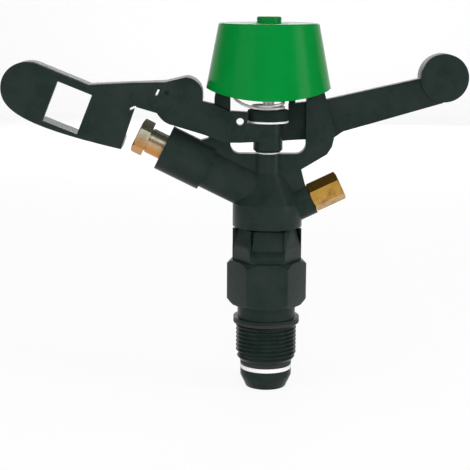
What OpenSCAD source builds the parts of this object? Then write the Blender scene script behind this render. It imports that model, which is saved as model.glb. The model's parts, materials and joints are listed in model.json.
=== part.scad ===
// Impact sprinkler: a full-circle plastic head on a male pipe thread, with a brass range nozzle,
// a brass spreader nozzle, a sprung hammer arm and a hood over its pivot.
// The origin is on the spindle axis, where the gasket meets the first turn of the thread. +Z is up.
// Fore is -X, where the range nozzle and the paddle are. Aft is +X, where the counterweight is.

/* [Inlet thread] */
// Major diameter of the male thread
thread_d = 26.44; // [24:0.01:30]
// Pitch of the thread
thread_pitch = 1.814; // [1:0.001:2.5]
// Number of full turns
thread_turns = 8; // [5:1:10]
// Depth of the thread
thread_depth = 1.1; // [0.5:0.05:1.3]
// Width of a crest
thread_crest = 0.4; // [0.2:0.05:0.6]
// Length of the plain end below the thread
nipple_lead = 2; // [1.5:0.1:5]
// How far the plain end narrows
nipple_end_chamfer = 1.6; // [0.5:0.1:1.8]

/* [Inlet nipple] */
// How far the gasket stands out past the thread
gasket_lip = 1.18; // [0.6:0.02:3]
// Clearance of the gasket round the thread it is put on over, on the radius
gasket_clearance = 0.14; // [0.05:0.01:0.3]
// Thickness of the gasket
gasket_t = 1.6; // [1:0.1:3]
// Thickness of the flange above the gasket
flange_t = 1; // [0.8:0.1:2.5]
// Diameter of the neck below the hexagon
neck_d = 25.2; // [24.5:0.1:26]
// Height of the neck
neck_h = 5.8; // [3:0.1:12]
// Hexagon across its flats
collar_af = 30; // [28:0.1:36]
// Height of the hexagon
collar_h = 19.6; // [12:0.1:26]
// Height of the hexagon's bevels
collar_bevel = 2; // [1:0.1:4]
// How deep the bearing spring sits in the hexagon
spring_pocket = 6; // [3:0.1:8]
// Height of the rim that locates the sand guard
guard_rim_h = 2.5; // [1.5:0.1:4]
// Wall of that rim
guard_rim_wall = 1.2; // [0.8:0.1:1.4]

/* [Spindle] */
// Outside diameter of the spindle tube
tube_d = 16; // [14.5:0.1:16.5]
// Bore of the spindle tube
tube_bore = 12; // [9:0.1:12.5]
// Running clearance of the tube in its bearing, on the radius
tube_clearance = 0.08; // [0.03:0.01:0.1]
// Length of the tube inside the body
tube_engagement = 8.2; // [6:0.1:9]
// Diameter of the foot flange and of the washers on it
foot_d = 22.4; // [20.5:0.1:23]
// Thickness of the foot flange before it tapers
foot_t = 2.9; // [2:0.1:5]
// Height of the tapered end
foot_taper_h = 5.2; // [3:0.1:8]
// Diameter at the very end
foot_end_d = 17.6; // [15:0.1:19]
// Width of the two spanner notches in the end
notch_w = 3; // [2:0.1:4]
// Depth of the notches
notch_depth = 1.6; // [1:0.1:2.5]
// Thickness of the rubber seal washer
seal_washer_t = 2; // [1:0.1:3]
// Thickness of the low-friction washer
friction_washer_t = 1.8; // [1:0.1:3]

/* [Bearing spring and sand guard] */
// Wire of the bearing spring
bearing_wire = 1.3; // [0.8:0.05:1.4]
// Turns of the bearing spring
bearing_turns = 6; // [4:1:8]
// How far the head can be pressed down
press_travel = 1; // [0.5:0.1:1.2]
// Gap left under the head at the end of that travel
press_margin = 0.2; // [0.1:0.05:0.5]
// Sand guard across the corners at its foot
guard_ac = 29.9; // [29:0.1:31]
// Sand guard across the corners at its top
guard_top_ac = 25.6; // [25:0.1:27]
// Height of the straight foot
guard_foot_h = 6.2; // [4:0.1:8]
// Height of the tapered part
guard_taper_h = 7.4; // [5:0.1:10]
// Thickness of the corner ribs
guard_rib_t = 1.4; // [1:0.1:2.5]

/* [Body] */
// Diameter of the body's stem
stem_d = 29.9; // [28:0.1:32]
// Height of the stem below the shoulder
stem_h = 10.2; // [8:0.1:12]
// Height of the shoulder that joins the stem to the pivot boss
shoulder_h = 13; // [10:0.1:16]
// How deep the bearing spring sits in the stem
body_spring_recess = 1.5; // [1:0.1:2.5]
// Height of the barrel's elbow above the foot of the stem
elbow_h = 12; // [11:0.1:14]
// Rise of the barrel
barrel_angle = 26; // [24:0.5:28]
// Length of the barrel from the spindle axis
barrel_len = 49.5; // [46:0.1:54]
// Diameter of the barrel's front sleeve
barrel_sleeve_d = 20; // [18.6:0.1:20.4]
// Length of that sleeve
barrel_sleeve_len = 20.4; // [15:0.1:24]
// Diameter of the barrel behind the sleeve
barrel_d = 17.3; // [16:0.1:18.4]
// Bore of the barrel
barrel_bore = 10; // [8:0.1:10.4]
// Height where the rear boss's axis leaves the spindle axis, above the foot of the stem
rear_root_h = 2.9; // [2:0.1:3.5]
// Rise of the rear boss
rear_angle = 25.6; // [24:0.1:27]
// Length of the rear boss from the spindle axis
rear_len = 21; // [20:0.1:24]
// Diameter of the rear boss
rear_d = 13.7; // [13:0.1:15]
// Bore of the passage that feeds the rear boss
rear_passage = 4; // [3:0.1:4.6]

/* [Bridge] */
// Thickness of the bridge plate
bridge_t = 6.4; // [5:0.1:7]
// Inside edge of the posts, from the spindle axis
window_half_w = 16.1; // [15:0.1:17]
// Height of the window's sill above the foot of the stem
sill_h = 31.3; // [30:0.1:34]
// Height of the window
window_h = 38; // [36:0.1:40]
// Radius of the window's lower corners
window_corner = 4.3; // [2:0.1:5]
// Width of the fore post
fore_post_w = 6.8; // [6:0.1:8]
// Width of the aft post at the level of the hammer arm
aft_post_w = 12.4; // [10:0.1:13]
// Height of the aft post's widest level above the sill
aft_post_level = 9; // [8:0.1:11]
// Height of the crossbar over the window
crossbar_h = 6; // [4:0.1:8]
// Half the width of the crossbar
crossbar_half_w = 19.4; // [18:0.1:19.8]
// Diameter of the boss that holds the top of the fulcrum pin
pin_boss_d = 10.8; // [9:0.1:12]
// Diameter of the pivot boss under the window
pivot_boss_d = 12.4; // [10:0.1:14]

/* [Pivot] */
// Diameter of the fulcrum pin
pin_d = 4.8; // [4:0.1:5.2]
// How deep the pin stands in the pivot boss
pin_seat = 8; // [6:0.1:9]
// Clearance of the pin in its two seats, on the radius
pin_seat_clearance = 0.03; // [0.01:0.01:0.06]
// Running clearance of the bushes on the pin, on the radius
bush_clearance = 0.06; // [0.02:0.01:0.1]
// Outside diameter of the bushes
bush_d = 8; // [7.5:0.1:9]
// Length of each bush
bush_len = 5; // [3:0.1:6]
// Outside diameter of the lower thrust washer
lower_washer_d = 9.4; // [9:0.1:11]
// Thickness of the lower thrust washer
lower_washer_t = 0.7; // [0.5:0.1:1]
// Diameter of the upper washer
upper_washer_d = 17.2; // [15:0.1:18]
// Thickness of the upper washer
upper_washer_t = 0.8; // [0.5:0.1:1.2]
// Diameter of the spring seat
spring_seat_d = 17.4; // [16:0.1:18]
// Height of the spring seat
spring_seat_h = 4.7; // [3:0.1:6]
// Height of the pilot that centres the arm spring
pilot_h = 1.2; // [0.8:0.1:2]
// Wire of the arm spring
arm_wire = 1.2; // [0.8:0.05:1.4]
// Mean radius of the arm spring
arm_coil_r = 6.6; // [5.8:0.1:7]
// Turns of the arm spring
arm_turns = 5; // [3:1:6]
// Rise of the arm spring's free leg
leg_rise = 6.8; // [4:0.1:8]
// Height of the spring anchor under the crossbar
anchor_h = 3; // [2:0.1:4]
// Diameter of the spring anchor
anchor_d = 15; // [14:0.1:16]
// Thickness of the retaining ring on top of the pin
retainer_t = 1; // [0.6:0.1:1.2]
// Diameter of the retaining ring
retainer_d = 8; // [7:0.1:9]
// Length of pin above the crossbar
pin_top = 2.4; // [2:0.1:3]

/* [Hammer arm] */
// Thickness of the arm plates
arm_t = 5.9; // [4:0.1:6.5]
// Gap between the arm and the posts that it passes
post_gap = 0.3; // [0.2:0.05:1]
// Diameter of the arm's hub
hub_d = 12.6; // [11.5:0.1:13]
// Height of the hub
hub_h = 12.6; // [11:0.1:14]
// Height of the bevel at the foot of the hub
hub_bevel = 1; // [0.5:0.1:2]
// Height of the arm's lower edge above the sill
web_foot_h = 5.5; // [5:0.1:6.5]
// Height of the fore web above the hub
fore_web_h = 4.9; // [4:0.1:6]
// Height of the aft web above the hub
aft_web_h = 7.4; // [7:0.1:9]
// Reach of the dip in the fore web's top edge
dip_reach = 17; // [16:0.1:18]
// Rise of that edge at the dip
dip_rise = 0.6; // [0:0.1:1.5]
// Reach of the middle of the ramp from the dip to the hump
ramp_reach = 23.5; // [20:0.1:25]
// Rise of the ramp there
ramp_rise = 3.6; // [2:0.1:4]
// Rise of the ramp where it meets the hump
hump_foot_rise = 4.6; // [4:0.1:6]
// Radius of the hump beside the hood
hump_r = 7.2; // [5:0.1:8]
// Height of the hump's centre above the fore web
hump_rise = 7.4; // [6.5:0.1:8]
// Length of the slope from the hump's top to the arm's top edge
hump_run = 8.5; // [5:0.1:10]
// Diameter of the hook hole in the arm's web
hook_hole_d = 3.2; // [2:0.1:4]
// Clearance round the parts that sit on the hub
hub_notch_gap = 0.1; // [0.05:0.05:1]
// Thickness of the deflector paddle's plate
paddle_t = 2.6; // [2:0.1:4]
// Reach of the paddle's nose from the spindle axis
paddle_reach = 112.4; // [108:0.1:120]
// Radius of that nose
nose_r = 11; // [10:0.1:12]
// Height of the nose's centre above the hub
nose_rise = 14.5; // [13:0.1:16]
// How far round the nose's rounding goes
nose_turn = 220; // [200:1:230]
// How the lower edge leaves the nose
nose_ease = 5.7; // [2:0.1:10]
// Reach of the bend in the paddle's top edge
bend_reach = 75.7; // [72:0.1:80]
// Reach of the paddle's root at the arm
root_reach = 56; // [54:0.1:58]
// Height of the open notch over the nozzle, above the hub
root_rise = 7.1; // [6.6:0.1:8]
// Reach of the toe, which is the paddle's lowest corner
toe_reach = 62.2; // [61:0.1:66]
// Depth of the toe below the top of the hub
toe_drop = 10.8; // [8:0.1:12]
// Slope of the lower edge at the toe
toe_slope = 12.8; // [8:0.1:16]
// How long the lower edge keeps that slope
toe_ease = 36; // [20:0.5:40]
// Depth of the flanges behind the paddle, and of the arm's rim
paddle_depth = 15.5; // [10:0.1:17]
// Thickness of those flanges
flange_wall = 2; // [1.4:0.1:3]
// Width of the window in the paddle
paddle_window = 15.4; // [10:0.1:16]
// Height of that window
paddle_window_h = 17.7; // [12:0.1:18]
// How far that window's centre is behind the nose
window_setback = 27.9; // [26:0.1:30]
// How far the window's centre is below the nose's centre
window_drop = 8; // [6:0.1:8.5]
// Tilt of the window
window_tilt = 21.8; // [20:0.1:24]
// Length of the paddle's open side towards the nozzle
paddle_mouth = 10; // [8:0.5:12]
// How far the shelf under the window runs on past it, each way
shelf_lap = 1.2; // [0.5:0.1:1.5]
// Thickness of that shelf
shelf_t = 1.6; // [1.2:0.1:2]
// How far its far edge is short of the flanges
shelf_setback = 0.4; // [0.2:0.1:1]
// Width of the small slot in the arm, of the blind hole beside it and of the relief slot at the root
slot_w = 0.9; // [0.6:0.1:1.2]
// Length of the small slot
slot_len = 2.9; // [2:0.1:4]
// Reach of the small slot
slot_reach = 46.7; // [45:0.1:48]
// Height of the small slot above the hub
slot_rise = 13.1; // [12.5:0.1:14]
// Distance from that slot to the blind hole
dimple_step = 4.1; // [3:0.1:5]
// Depth of the blind hole
dimple_depth = 1.5; // [0.5:0.1:3]
// Lean of both slots
slot_lean = 26; // [20:1:30]
// How far the arm's plate runs on over the paddle
root_lap = 10; // [8:0.5:12]
// Height of the arm's long top edge above the hub, at the spindle axis
top_rise = 19.4; // [18:0.1:20]
// How fast that edge falls towards the paddle
top_fall = 0.046; // [0:0.001:0.08]
// Reach of the upper end of the step in the arm's underside
step_reach = 47; // [46:0.1:48]
// Height of that end above the hub
step_rise = 4.5; // [4:0.1:5]
// Length of the step
step_len = 7; // [5:0.1:8]
// Depth of its lower end below the top of the hub
step_drop = 0.7; // [0.2:0.1:1.2]
// Reach of the lower corner of the fore web
fore_heel_reach = 26.9; // [26:0.1:28]
// Depth of that corner below the top of the hub
fore_heel_drop = 4.6; // [4:0.1:5]
// Reach of the fore web's level foot
fore_foot_reach = 18; // [14:0.1:20]
// Reach of the aft web's foot
aft_foot_reach = 28; // [26:0.1:29]
// Rise of that foot
aft_foot_rise = 0.6; // [0:0.1:1]
// Reach of the beam's lower root
beam_low_reach = 32.3; // [31:0.1:34]
// Depth of that root below the top of the hub
beam_low_drop = 4.2; // [3:0.1:5]
// Reach of the beam's upper root
beam_high_reach = 25.9; // [25:0.1:27]
// Height of that root above the hub
beam_high_rise = 9.6; // [9:0.1:10.5]
// Height of the beam's lower end above the hub
beam_end_rise = 8.3; // [8:0.1:10]
// Height of its upper end above the hub
beam_top_rise = 19.8; // [19:0.1:21]
// Reach at which the arm's plates leave the hub
splay_in = 5; // [4:0.1:6]
// Reach at which they lie beside the posts
splay_out = 12; // [10:0.1:13]
// Width of the spring lug on the arm
lug_w = 2.8; // [2:0.1:4]
// Height of the spring lug
lug_h = 4; // [2:0.1:6]

/* [Counterweight] */
// Reach of the counterweight's centre
weight_x = 75; // [70:0.1:80]
// Height of that centre above the hub
weight_rise = 19; // [17:0.1:20]
// Diameter of the counterweight housing
weight_d = 20.4; // [19:0.1:24]
// Thickness of the housing
weight_t = 12; // [10:0.1:14]
// Diameter of the pocket in the housing
weight_pocket_d = 15.4; // [12:0.1:16]
// Depth of the pocket
weight_pocket_depth = 9; // [6:0.1:9.5]
// Thickness of the cover disc
cover_t = 1.6; // [1:0.1:2.5]
// How far the cover sits below the rim
cover_recess = 0.6; // [0.2:0.1:1.5]
// Clearance round the slug and the cover, on the radius
pocket_clearance = 0.1; // [0.05:0.01:0.3]

/* [Nozzles] */
// Outside diameter of the range nozzle's shank
range_shank_d = 11.2; // [10.6:0.1:11.8]
// Length of shank between the barrel and the hexagon
range_shank_len = 7.4; // [4:0.1:12]
// Length of shank inside the barrel
range_insert = 9; // [6:0.1:12]
// Hexagon of the range nozzle across its flats
range_af = 13.4; // [12.5:0.1:15]
// Length of that hexagon
range_hex_len = 5.2; // [3:0.1:8]
// Jet orifice of the range nozzle
range_orifice = 4.4; // [2.5:0.1:6]
// Length of the straight parts of its bore
range_lip = 3; // [2:0.1:4]
// Wide end of the range nozzle's bore
range_throat = 8.4; // [7:0.1:9]
// Thickness of the range nozzle's seal
range_seal_t = 1; // [0.6:0.1:2]
// Outside diameter of the spreader nozzle's shank
spreader_shank_d = 9; // [8:0.1:9.4]
// Length of that shank
spreader_insert = 6; // [4:0.1:6.5]
// Hexagon of the spreader nozzle across its flats
spreader_af = 11.1; // [10.2:0.1:12]
// Length of that hexagon
spreader_hex_len = 13.8; // [8:0.1:16]
// Jet orifice of the spreader nozzle
spreader_orifice = 3.2; // [1.5:0.1:4]
// Length of that orifice
spreader_lip = 4; // [3:0.1:6]
// Wide end of the spreader nozzle's bore
spreader_throat = 5.6; // [4.5:0.1:6.4]
// Thickness of the spreader nozzle's seal
spreader_seal_t = 0.8; // [0.5:0.1:1.2]
// Clearance of the nozzles in their seats, on the radius
nozzle_clearance = 0.05; // [0.02:0.01:0.1]
// Length of the stream straightener
vane_len = 17; // [10:0.5:22]
// Gap between the straightener and the nozzle's seal
vane_gap = 1.5; // [0.5:0.1:2.5]
// Thickness of its vanes
vane_t = 0.9; // [0.6:0.1:1.5]

/* [Hood] */
// How far the hood's side rims hang below the crossbar
hood_cover = 10.2; // [9:0.1:11]
// Radius of the hood's rim at the sides
hood_rim_r = 26.5; // [26:0.1:28]
// Radius of the hood's top
hood_top_r = 21.2; // [20:0.1:24]
// Height from the side rims to the top
hood_h = 27.4; // [24:0.1:32]
// How much lower the rim hangs at the front and back
hood_drop = 3.5; // [1:0.1:3.8]
// Wall of the hood
hood_wall = 1.6; // [1.2:0.1:2]
// Rounding of the hood's top edge
hood_edge = 0.8; // [0.5:0.1:2]
// Diameter of the knob on the hood
knob_d = 10.4; // [8:0.1:14]
// Height of the knob
knob_h = 2.7; // [1.5:0.1:5]
// Gap between the hammer arm and the hood's rim
hood_gap = 0.8; // [0.6:0.1:2]
// Diameter of the boss that holds the hood on the pin
hood_boss_d = 13; // [12:0.1:16]

/* [Hidden] */
$fn = 64;
// overrun of a cut past a face, and of one solid into another
cut = 1;
embed = 0.5;
// gaps: round loose washers and springs, between parts that only touch, and in a pressed seat
loose = 0.3;
touch_gap = 0.05;
press_gap = 0.02;

// inlet, from the gasket upwards and from the thread downwards
thread_r = thread_d / 2;
gasket_d = thread_d + 2 * gasket_lip;
thread_len = thread_turns * thread_pitch + thread_crest;
nipple_end_z = -thread_len - nipple_lead;
neck_z = gasket_t + flange_t;
collar_z = neck_z + neck_h;
collar_top_z = collar_z + collar_h;
collar_r = collar_af / sqrt(3);
relief_r = thread_r - thread_depth;
spring_seat_z = collar_top_z - spring_pocket;
bearing_coil_r = tube_d / 2 + bearing_wire / 2 + loose;
spring_pocket_r = bearing_coil_r + bearing_wire / 2 + loose;
guard_rim_r = spring_pocket_r + guard_rim_wall;
guard_top_z = collar_top_z + guard_foot_h + guard_taper_h;

// spindle
seal_z = nipple_end_z - seal_washer_t;
friction_z = seal_z - friction_washer_t;
foot_z = friction_z - foot_t - foot_taper_h;
washer_bore = tube_d + loose;

// body
stem_z = guard_top_z + press_travel + press_margin;
spring_top_z = stem_z + body_spring_recess;
tube_top_z = stem_z + tube_engagement;
shoulder_z = stem_z + stem_h;
elbow_z = stem_z + elbow_h;
rear_root_z = stem_z + rear_root_h;
rear_start = (rear_d / 2 * cos(rear_angle) - rear_root_h) / sin(rear_angle) + embed;
sill_z = stem_z + sill_h;
crossbar_z = sill_z + window_h;
bridge_top_z = crossbar_z + crossbar_h;
aft_post_z = sill_z + aft_post_level;

// pivot stack, from the sill upwards
pin_r = pin_d / 2;
pin_foot_z = sill_z - pin_seat;
hub_z = sill_z + lower_washer_t;
hub_top_z = hub_z + hub_h;
spring_seat_foot_z = hub_top_z + upper_washer_t;
spring_seat_top_z = spring_seat_foot_z + spring_seat_h;
anchor_z = crossbar_z - anchor_h;
coil_low_z = spring_seat_top_z + arm_wire / 2 + touch_gap;
coil_high_z = anchor_z - arm_wire / 2 - touch_gap;
hub_notch_r = max(spring_seat_d, upper_washer_d) / 2 + hub_notch_gap;

// hood
hood_rim_z = crossbar_z - hood_cover;
hood_low_z = hood_rim_z - hood_drop;
hood_top_z = hood_rim_z + hood_h;
hood_flare = (hood_rim_r - hood_top_r) / hood_h;
hood_low_r = hood_rim_r + hood_drop * hood_flare;
rim_arc_r = (pow(hood_rim_r, 2) + pow(hood_drop, 2)) / (2 * hood_drop);
swing_r = hood_low_r + hood_gap;

// hammer arm
arm_near_y = bridge_t / 2 + post_gap;
arm_far_y = arm_near_y + arm_t;
web_low_z = sill_z + web_foot_h;
fore_web_top_z = hub_top_z + fore_web_h;
aft_web_top_z = hub_top_z + aft_web_h;
hump_edge = sqrt(pow(swing_r, 2) - pow(arm_near_y, 2));
weight_z = hub_top_z + weight_rise;
weight_y = arm_near_y + arm_t / 2;
weight_front_y = weight_y - weight_t / 2;
weight_back_y = weight_front_y + weight_t;
slug_r = weight_pocket_d / 2 - pocket_clearance;
slug_t = weight_pocket_depth - cover_t - cover_recess;
nose = [nose_r - paddle_reach, hub_top_z + nose_rise];
window_z = nose[1] - window_drop;
rim_reach = root_reach + paddle_mouth / 2 + embed;

// nozzle seats
range_seat_r = range_shank_d / 2 + nozzle_clearance;
range_seat = range_insert + range_seal_t;
spreader_seat_r = spreader_shank_d / 2 + nozzle_clearance;
spreader_seat = spreader_insert + spreader_seal_t;
vane_z = barrel_len - range_seat - vane_gap - vane_len;

// ---- helpers ----

// a ring whose foot is at z
module ring(outer_d, inner_d, z, h) {
    translate([0, 0, z])
        difference() {
            cylinder(d = outer_d, h = h);
            translate([0, 0, -cut])
                cylinder(d = inner_d, h = h + 2 * cut);
        }
}

// a flat outline in X and Z, given a thickness between two values of Y
module side_plate(points, y0, y1) {
    translate([0, y1, 0])
        rotate([90, 0, 0])
            linear_extrude(y1 - y0)
                polygon(points);
}

// a cylinder that lies along Y between two values of Y
module cross_cylinder(x, z, r, y0, y1) {
    translate([x, y1, z])
        rotate([90, 0, 0])
            cylinder(r = r, h = y1 - y0);
}

// the barrel's and the rear boss's own frames, with Z along the bore
module along_barrel() {
    translate([0, 0, elbow_z])
        rotate([0, barrel_angle - 90, 0])
            children();
}

module along_rear_boss() {
    translate([0, 0, rear_root_z])
        rotate([0, 90 - rear_angle, 0])
            children();
}

function unit(v) = v / norm(v);

// the points of an arc round c, from angle a0 to angle a1
function arc(c, r, a0, a1, steps = 8) =
    [for (i = [0:steps]) c + r * [cos(a0 + (a1 - a0) * i / steps), sin(a0 + (a1 - a0) * i / steps)]];

// a wire swept along points that run more or less level
module wire(points, d, sides = 8) {
    last = len(points) - 1;
    corners = [for (i = [0:last])
        let (t = unit(points[min(i + 1, last)] - points[max(i - 1, 0)]))
        let (side = unit(cross(t, [0, 0, 1])))
        let (up = cross(side, t))
        for (k = [0:sides - 1])
            points[i] + d / 2 * (side * cos(360 * k / sides) + up * sin(360 * k / sides))];
    walls = [for (i = [0:last - 1])
        for (k = [0:sides - 1])
            let (n = (k + 1) % sides)
            [i * sides + k, (i + 1) * sides + k, (i + 1) * sides + n, i * sides + n]];
    low_end = [for (k = [0:sides - 1]) k];
    high_end = [for (k = [sides - 1:-1:0]) last * sides + k];
    polyhedron(points = corners, faces = concat([low_end], walls, [high_end]));
}

// the centre line of a coil: its first and last turns lie close, as ground ends do
function coil_points(r, turns, z0, z1, wire_d, a0, steps = 16) =
    [for (i = [0:turns * steps])
        let (t = i / steps)
        let (rise = (z1 - z0 - 2 * wire_d) / (turns - 2))
        let (z = t < 1 ? t * wire_d
            : t > turns - 1 ? z1 - z0 - (turns - t) * wire_d
            : wire_d + (t - 1) * rise)
        [r * cos(a0 + 360 * t), r * sin(a0 + 360 * t), z0 + z]];

// ---- inlet ----

thread_outline = [for (i = [0:thread_turns])
    let (z = -i * thread_pitch)
    each [[thread_r, z], [thread_r, z - thread_crest],
        if (i < thread_turns) [thread_r - thread_depth, z - (thread_pitch + thread_crest) / 2]]];

module inlet_nipple() {
    bore_r = tube_d / 2 + tube_clearance;
    color("#23292a")
        difference() {
            union() {
                rotate_extrude()
                    polygon(concat([[0, 0]], thread_outline,
                        [[thread_r - nipple_end_chamfer, nipple_end_z], [0, nipple_end_z]]));
                cylinder(r = relief_r, h = gasket_t + cut);
                translate([0, 0, gasket_t])
                    cylinder(d = gasket_d, h = flange_t);
                translate([0, 0, gasket_t])
                    cylinder(d = neck_d, h = flange_t + neck_h + cut);
                collar();
                translate([0, 0, collar_top_z - cut])
                    cylinder(r = guard_rim_r, h = guard_rim_h + cut);
            }
            translate([0, 0, nipple_end_z - cut])
                cylinder(r = bore_r, h = collar_top_z - nipple_end_z + 2 * cut);
            translate([0, 0, spring_seat_z])
                cylinder(r = spring_pocket_r, h = spring_pocket + guard_rim_h + cut);
        }
}

// the spanner hexagon, bevelled at both ends
module collar() {
    flat_r = collar_r - collar_bevel;
    intersection() {
        translate([0, 0, collar_z])
            cylinder(r = collar_r, h = collar_h, $fn = 6);
        rotate_extrude()
            polygon([[0, collar_z], [flat_r, collar_z], [collar_r + cut, collar_z + collar_bevel + cut],
                [collar_r + cut, collar_top_z - collar_bevel - cut], [flat_r, collar_top_z],
                [0, collar_top_z]]);
    }
}

module inlet_gasket() {
    color("#1b1d1d")
        ring(gasket_d, thread_d + 2 * gasket_clearance, 0, gasket_t);
}

module sand_guard() {
    taper_z = collar_top_z + guard_foot_h;
    rib_reach = guard_ac / 2 - touch_gap - spring_pocket_r - embed;
    color("#2b2f30")
        difference() {
            union() {
                translate([0, 0, collar_top_z])
                    cylinder(d = guard_ac, h = guard_foot_h, $fn = 6);
                translate([0, 0, taper_z])
                    cylinder(d1 = guard_ac, d2 = guard_top_ac, h = guard_taper_h, $fn = 6);
                for (k = [0:5])
                    rotate([0, 0, 60 * k])
                        translate([spring_pocket_r + embed, -guard_rib_t / 2, taper_z - cut])
                            cube([rib_reach, guard_rib_t, guard_taper_h + cut]);
            }
            translate([0, 0, collar_top_z - cut])
                cylinder(r = spring_pocket_r, h = guard_foot_h + guard_taper_h + 2 * cut);
            translate([0, 0, collar_top_z - cut])
                cylinder(r = guard_rim_r + touch_gap, h = guard_rim_h + touch_gap + cut);
        }
}

module bearing_spring() {
    inset = bearing_wire / 2 + touch_gap;
    color("#b9bcbb")
        wire(coil_points(bearing_coil_r, bearing_turns, spring_seat_z + inset, spring_top_z - inset,
            bearing_wire, 0), bearing_wire);
}

module seal_washer() {
    color("#151616")
        ring(foot_d, washer_bore, seal_z, seal_washer_t);
}

module friction_washer() {
    color("#f2f1ec")
        ring(foot_d, washer_bore, friction_z, friction_washer_t);
}

// ---- spindle ----

module spindle_tube() {
    color("#23292a")
        difference() {
            union() {
                translate([0, 0, friction_z - foot_t])
                    cylinder(d = foot_d, h = foot_t);
                translate([0, 0, foot_z])
                    cylinder(d1 = foot_end_d, d2 = foot_d, h = foot_taper_h);
                translate([0, 0, friction_z - cut])
                    cylinder(d = tube_d, h = tube_top_z - friction_z + cut);
            }
            translate([0, 0, foot_z - cut])
                cylinder(d = tube_bore, h = tube_top_z - foot_z + 2 * cut);
            translate([-foot_d, -notch_w / 2, foot_z - cut])
                cube([2 * foot_d, notch_w, notch_depth + cut]);
        }
}

// ---- body ----

// the bridge's outline: foot, gusset over the barrel, posts and crossbar
bridge_outline = [
    [-14.3, shoulder_z + 2],
    [-29, elbow_z + 15],
    [-29.2, sill_z + 5.5],
    [-25.6, sill_z + 6.5],
    [-window_half_w - fore_post_w, sill_z + 10.2],
    [-window_half_w - fore_post_w, hood_low_z - 0.5],
    [-crossbar_half_w, bridge_top_z],
    [crossbar_half_w, bridge_top_z],
    [hood_rim_r - 2.6, hood_low_z + 1.3],
    [window_half_w + aft_post_w, aft_post_z],
    [window_half_w + aft_post_w - 1.2, sill_z + 3.4],
    [window_half_w + aft_post_w - 3.4, sill_z],
    [14.3, sill_z - 6.5],
    [16, shoulder_z + 8],
    [14.3, shoulder_z + 2]];

window_outline = concat(
    [[window_half_w, crossbar_z], [-window_half_w, crossbar_z]],
    arc([-window_half_w + window_corner, sill_z + window_corner], window_corner, 180, 270),
    arc([window_half_w - window_corner, sill_z + window_corner], window_corner, 270, 360));

module body_solid() {
    translate([0, 0, stem_z])
        cylinder(d = stem_d, h = stem_h);
    translate([0, 0, shoulder_z])
        cylinder(d1 = stem_d, d2 = pivot_boss_d, h = shoulder_h);
    along_barrel() {
        cylinder(d = barrel_d, h = barrel_len);
        translate([0, 0, barrel_len - barrel_sleeve_len])
            cylinder(d = barrel_sleeve_d, h = barrel_sleeve_len);
    }
    along_rear_boss()
        translate([0, 0, rear_start])
            cylinder(d = rear_d, h = rear_len - rear_start);
    difference() {
        side_plate(bridge_outline, -bridge_t / 2, bridge_t / 2);
        side_plate(window_outline, -bridge_t, bridge_t);
    }
    translate([0, 0, shoulder_z])
        cylinder(d = pivot_boss_d, h = sill_z - shoulder_z);
    translate([0, 0, crossbar_z])
        cylinder(d = pin_boss_d, h = crossbar_h);
}

module body_passages() {
    feed_reach = rear_len - spreader_seat;
    feed_x = feed_reach * cos(rear_angle);
    feed_top = elbow_z + 2;
    feed_drop = feed_top - rear_root_z - feed_reach * sin(rear_angle);
    translate([0, 0, stem_z - cut])
        cylinder(r = spring_pocket_r, h = body_spring_recess + cut);
    translate([0, 0, stem_z])
        cylinder(r = tube_d / 2 + press_gap, h = tube_engagement);
    translate([0, 0, stem_z])
        cylinder(d = tube_bore, h = elbow_h);
    translate([0, 0, elbow_z])
        sphere(d = tube_bore);
    along_barrel() {
        cylinder(d = barrel_bore, h = barrel_len);
        translate([0, 0, barrel_len - range_seat])
            cylinder(r = range_seat_r, h = range_seat + cut);
    }
    along_rear_boss()
        translate([0, 0, rear_len - spreader_seat])
            cylinder(r = spreader_seat_r, h = spreader_seat + cut);
    translate([0, 0, feed_top])
        rotate([0, 180 - atan2(feed_x, feed_drop), 0])
            cylinder(d = rear_passage, h = norm([feed_x, feed_drop]));
    translate([0, 0, pin_foot_z])
        cylinder(r = pin_r + pin_seat_clearance, h = bridge_top_z - pin_foot_z + cut);
}

module sprinkler_body() {
    color("#23292a")
        difference() {
            body_solid();
            body_passages();
        }
}

// ---- nozzles ----

module range_nozzle() {
    shank = range_insert + range_shank_len;
    full = shank + range_hex_len;
    color("#c9922f")
        along_barrel()
            translate([0, 0, barrel_len - range_insert])
                difference() {
                    union() {
                        cylinder(d = range_shank_d, h = shank + cut);
                        translate([0, 0, shank])
                            cylinder(d = 2 * range_af / sqrt(3), h = range_hex_len, $fn = 6);
                    }
                    translate([0, 0, -cut])
                        cylinder(d = range_throat, h = cut + range_lip);
                    translate([0, 0, range_lip])
                        cylinder(d1 = range_throat, d2 = range_orifice, h = full - 2 * range_lip);
                    translate([0, 0, full - range_lip - cut])
                        cylinder(d = range_orifice, h = range_lip + 2 * cut);
                }
}

module range_nozzle_seal() {
    color("#151616")
        along_barrel()
            ring(range_shank_d, range_throat, barrel_len - range_seat, range_seal_t);
}

module stream_straightener() {
    color("#e9e6dc")
        along_barrel()
            translate([0, 0, vane_z])
                intersection() {
                    cylinder(d = barrel_bore - 2 * touch_gap, h = vane_len);
                    for (k = [0:1])
                        rotate([0, 0, 90 * k])
                            translate([-barrel_bore, -vane_t / 2, 0])
                                cube([2 * barrel_bore, vane_t, vane_len]);
                }
}

module spreader_nozzle() {
    full = spreader_insert + spreader_hex_len;
    color("#c9922f")
        along_rear_boss()
            translate([0, 0, rear_len - spreader_insert])
                difference() {
                    union() {
                        cylinder(d = spreader_shank_d, h = spreader_insert + cut);
                        translate([0, 0, spreader_insert])
                            cylinder(d = 2 * spreader_af / sqrt(3), h = spreader_hex_len, $fn = 6);
                    }
                    translate([0, 0, -cut])
                        cylinder(d = spreader_throat, h = full - spreader_lip + cut);
                    translate([0, 0, full - spreader_lip - cut])
                        cylinder(d = spreader_orifice, h = spreader_lip + 2 * cut);
                }
}

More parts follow.
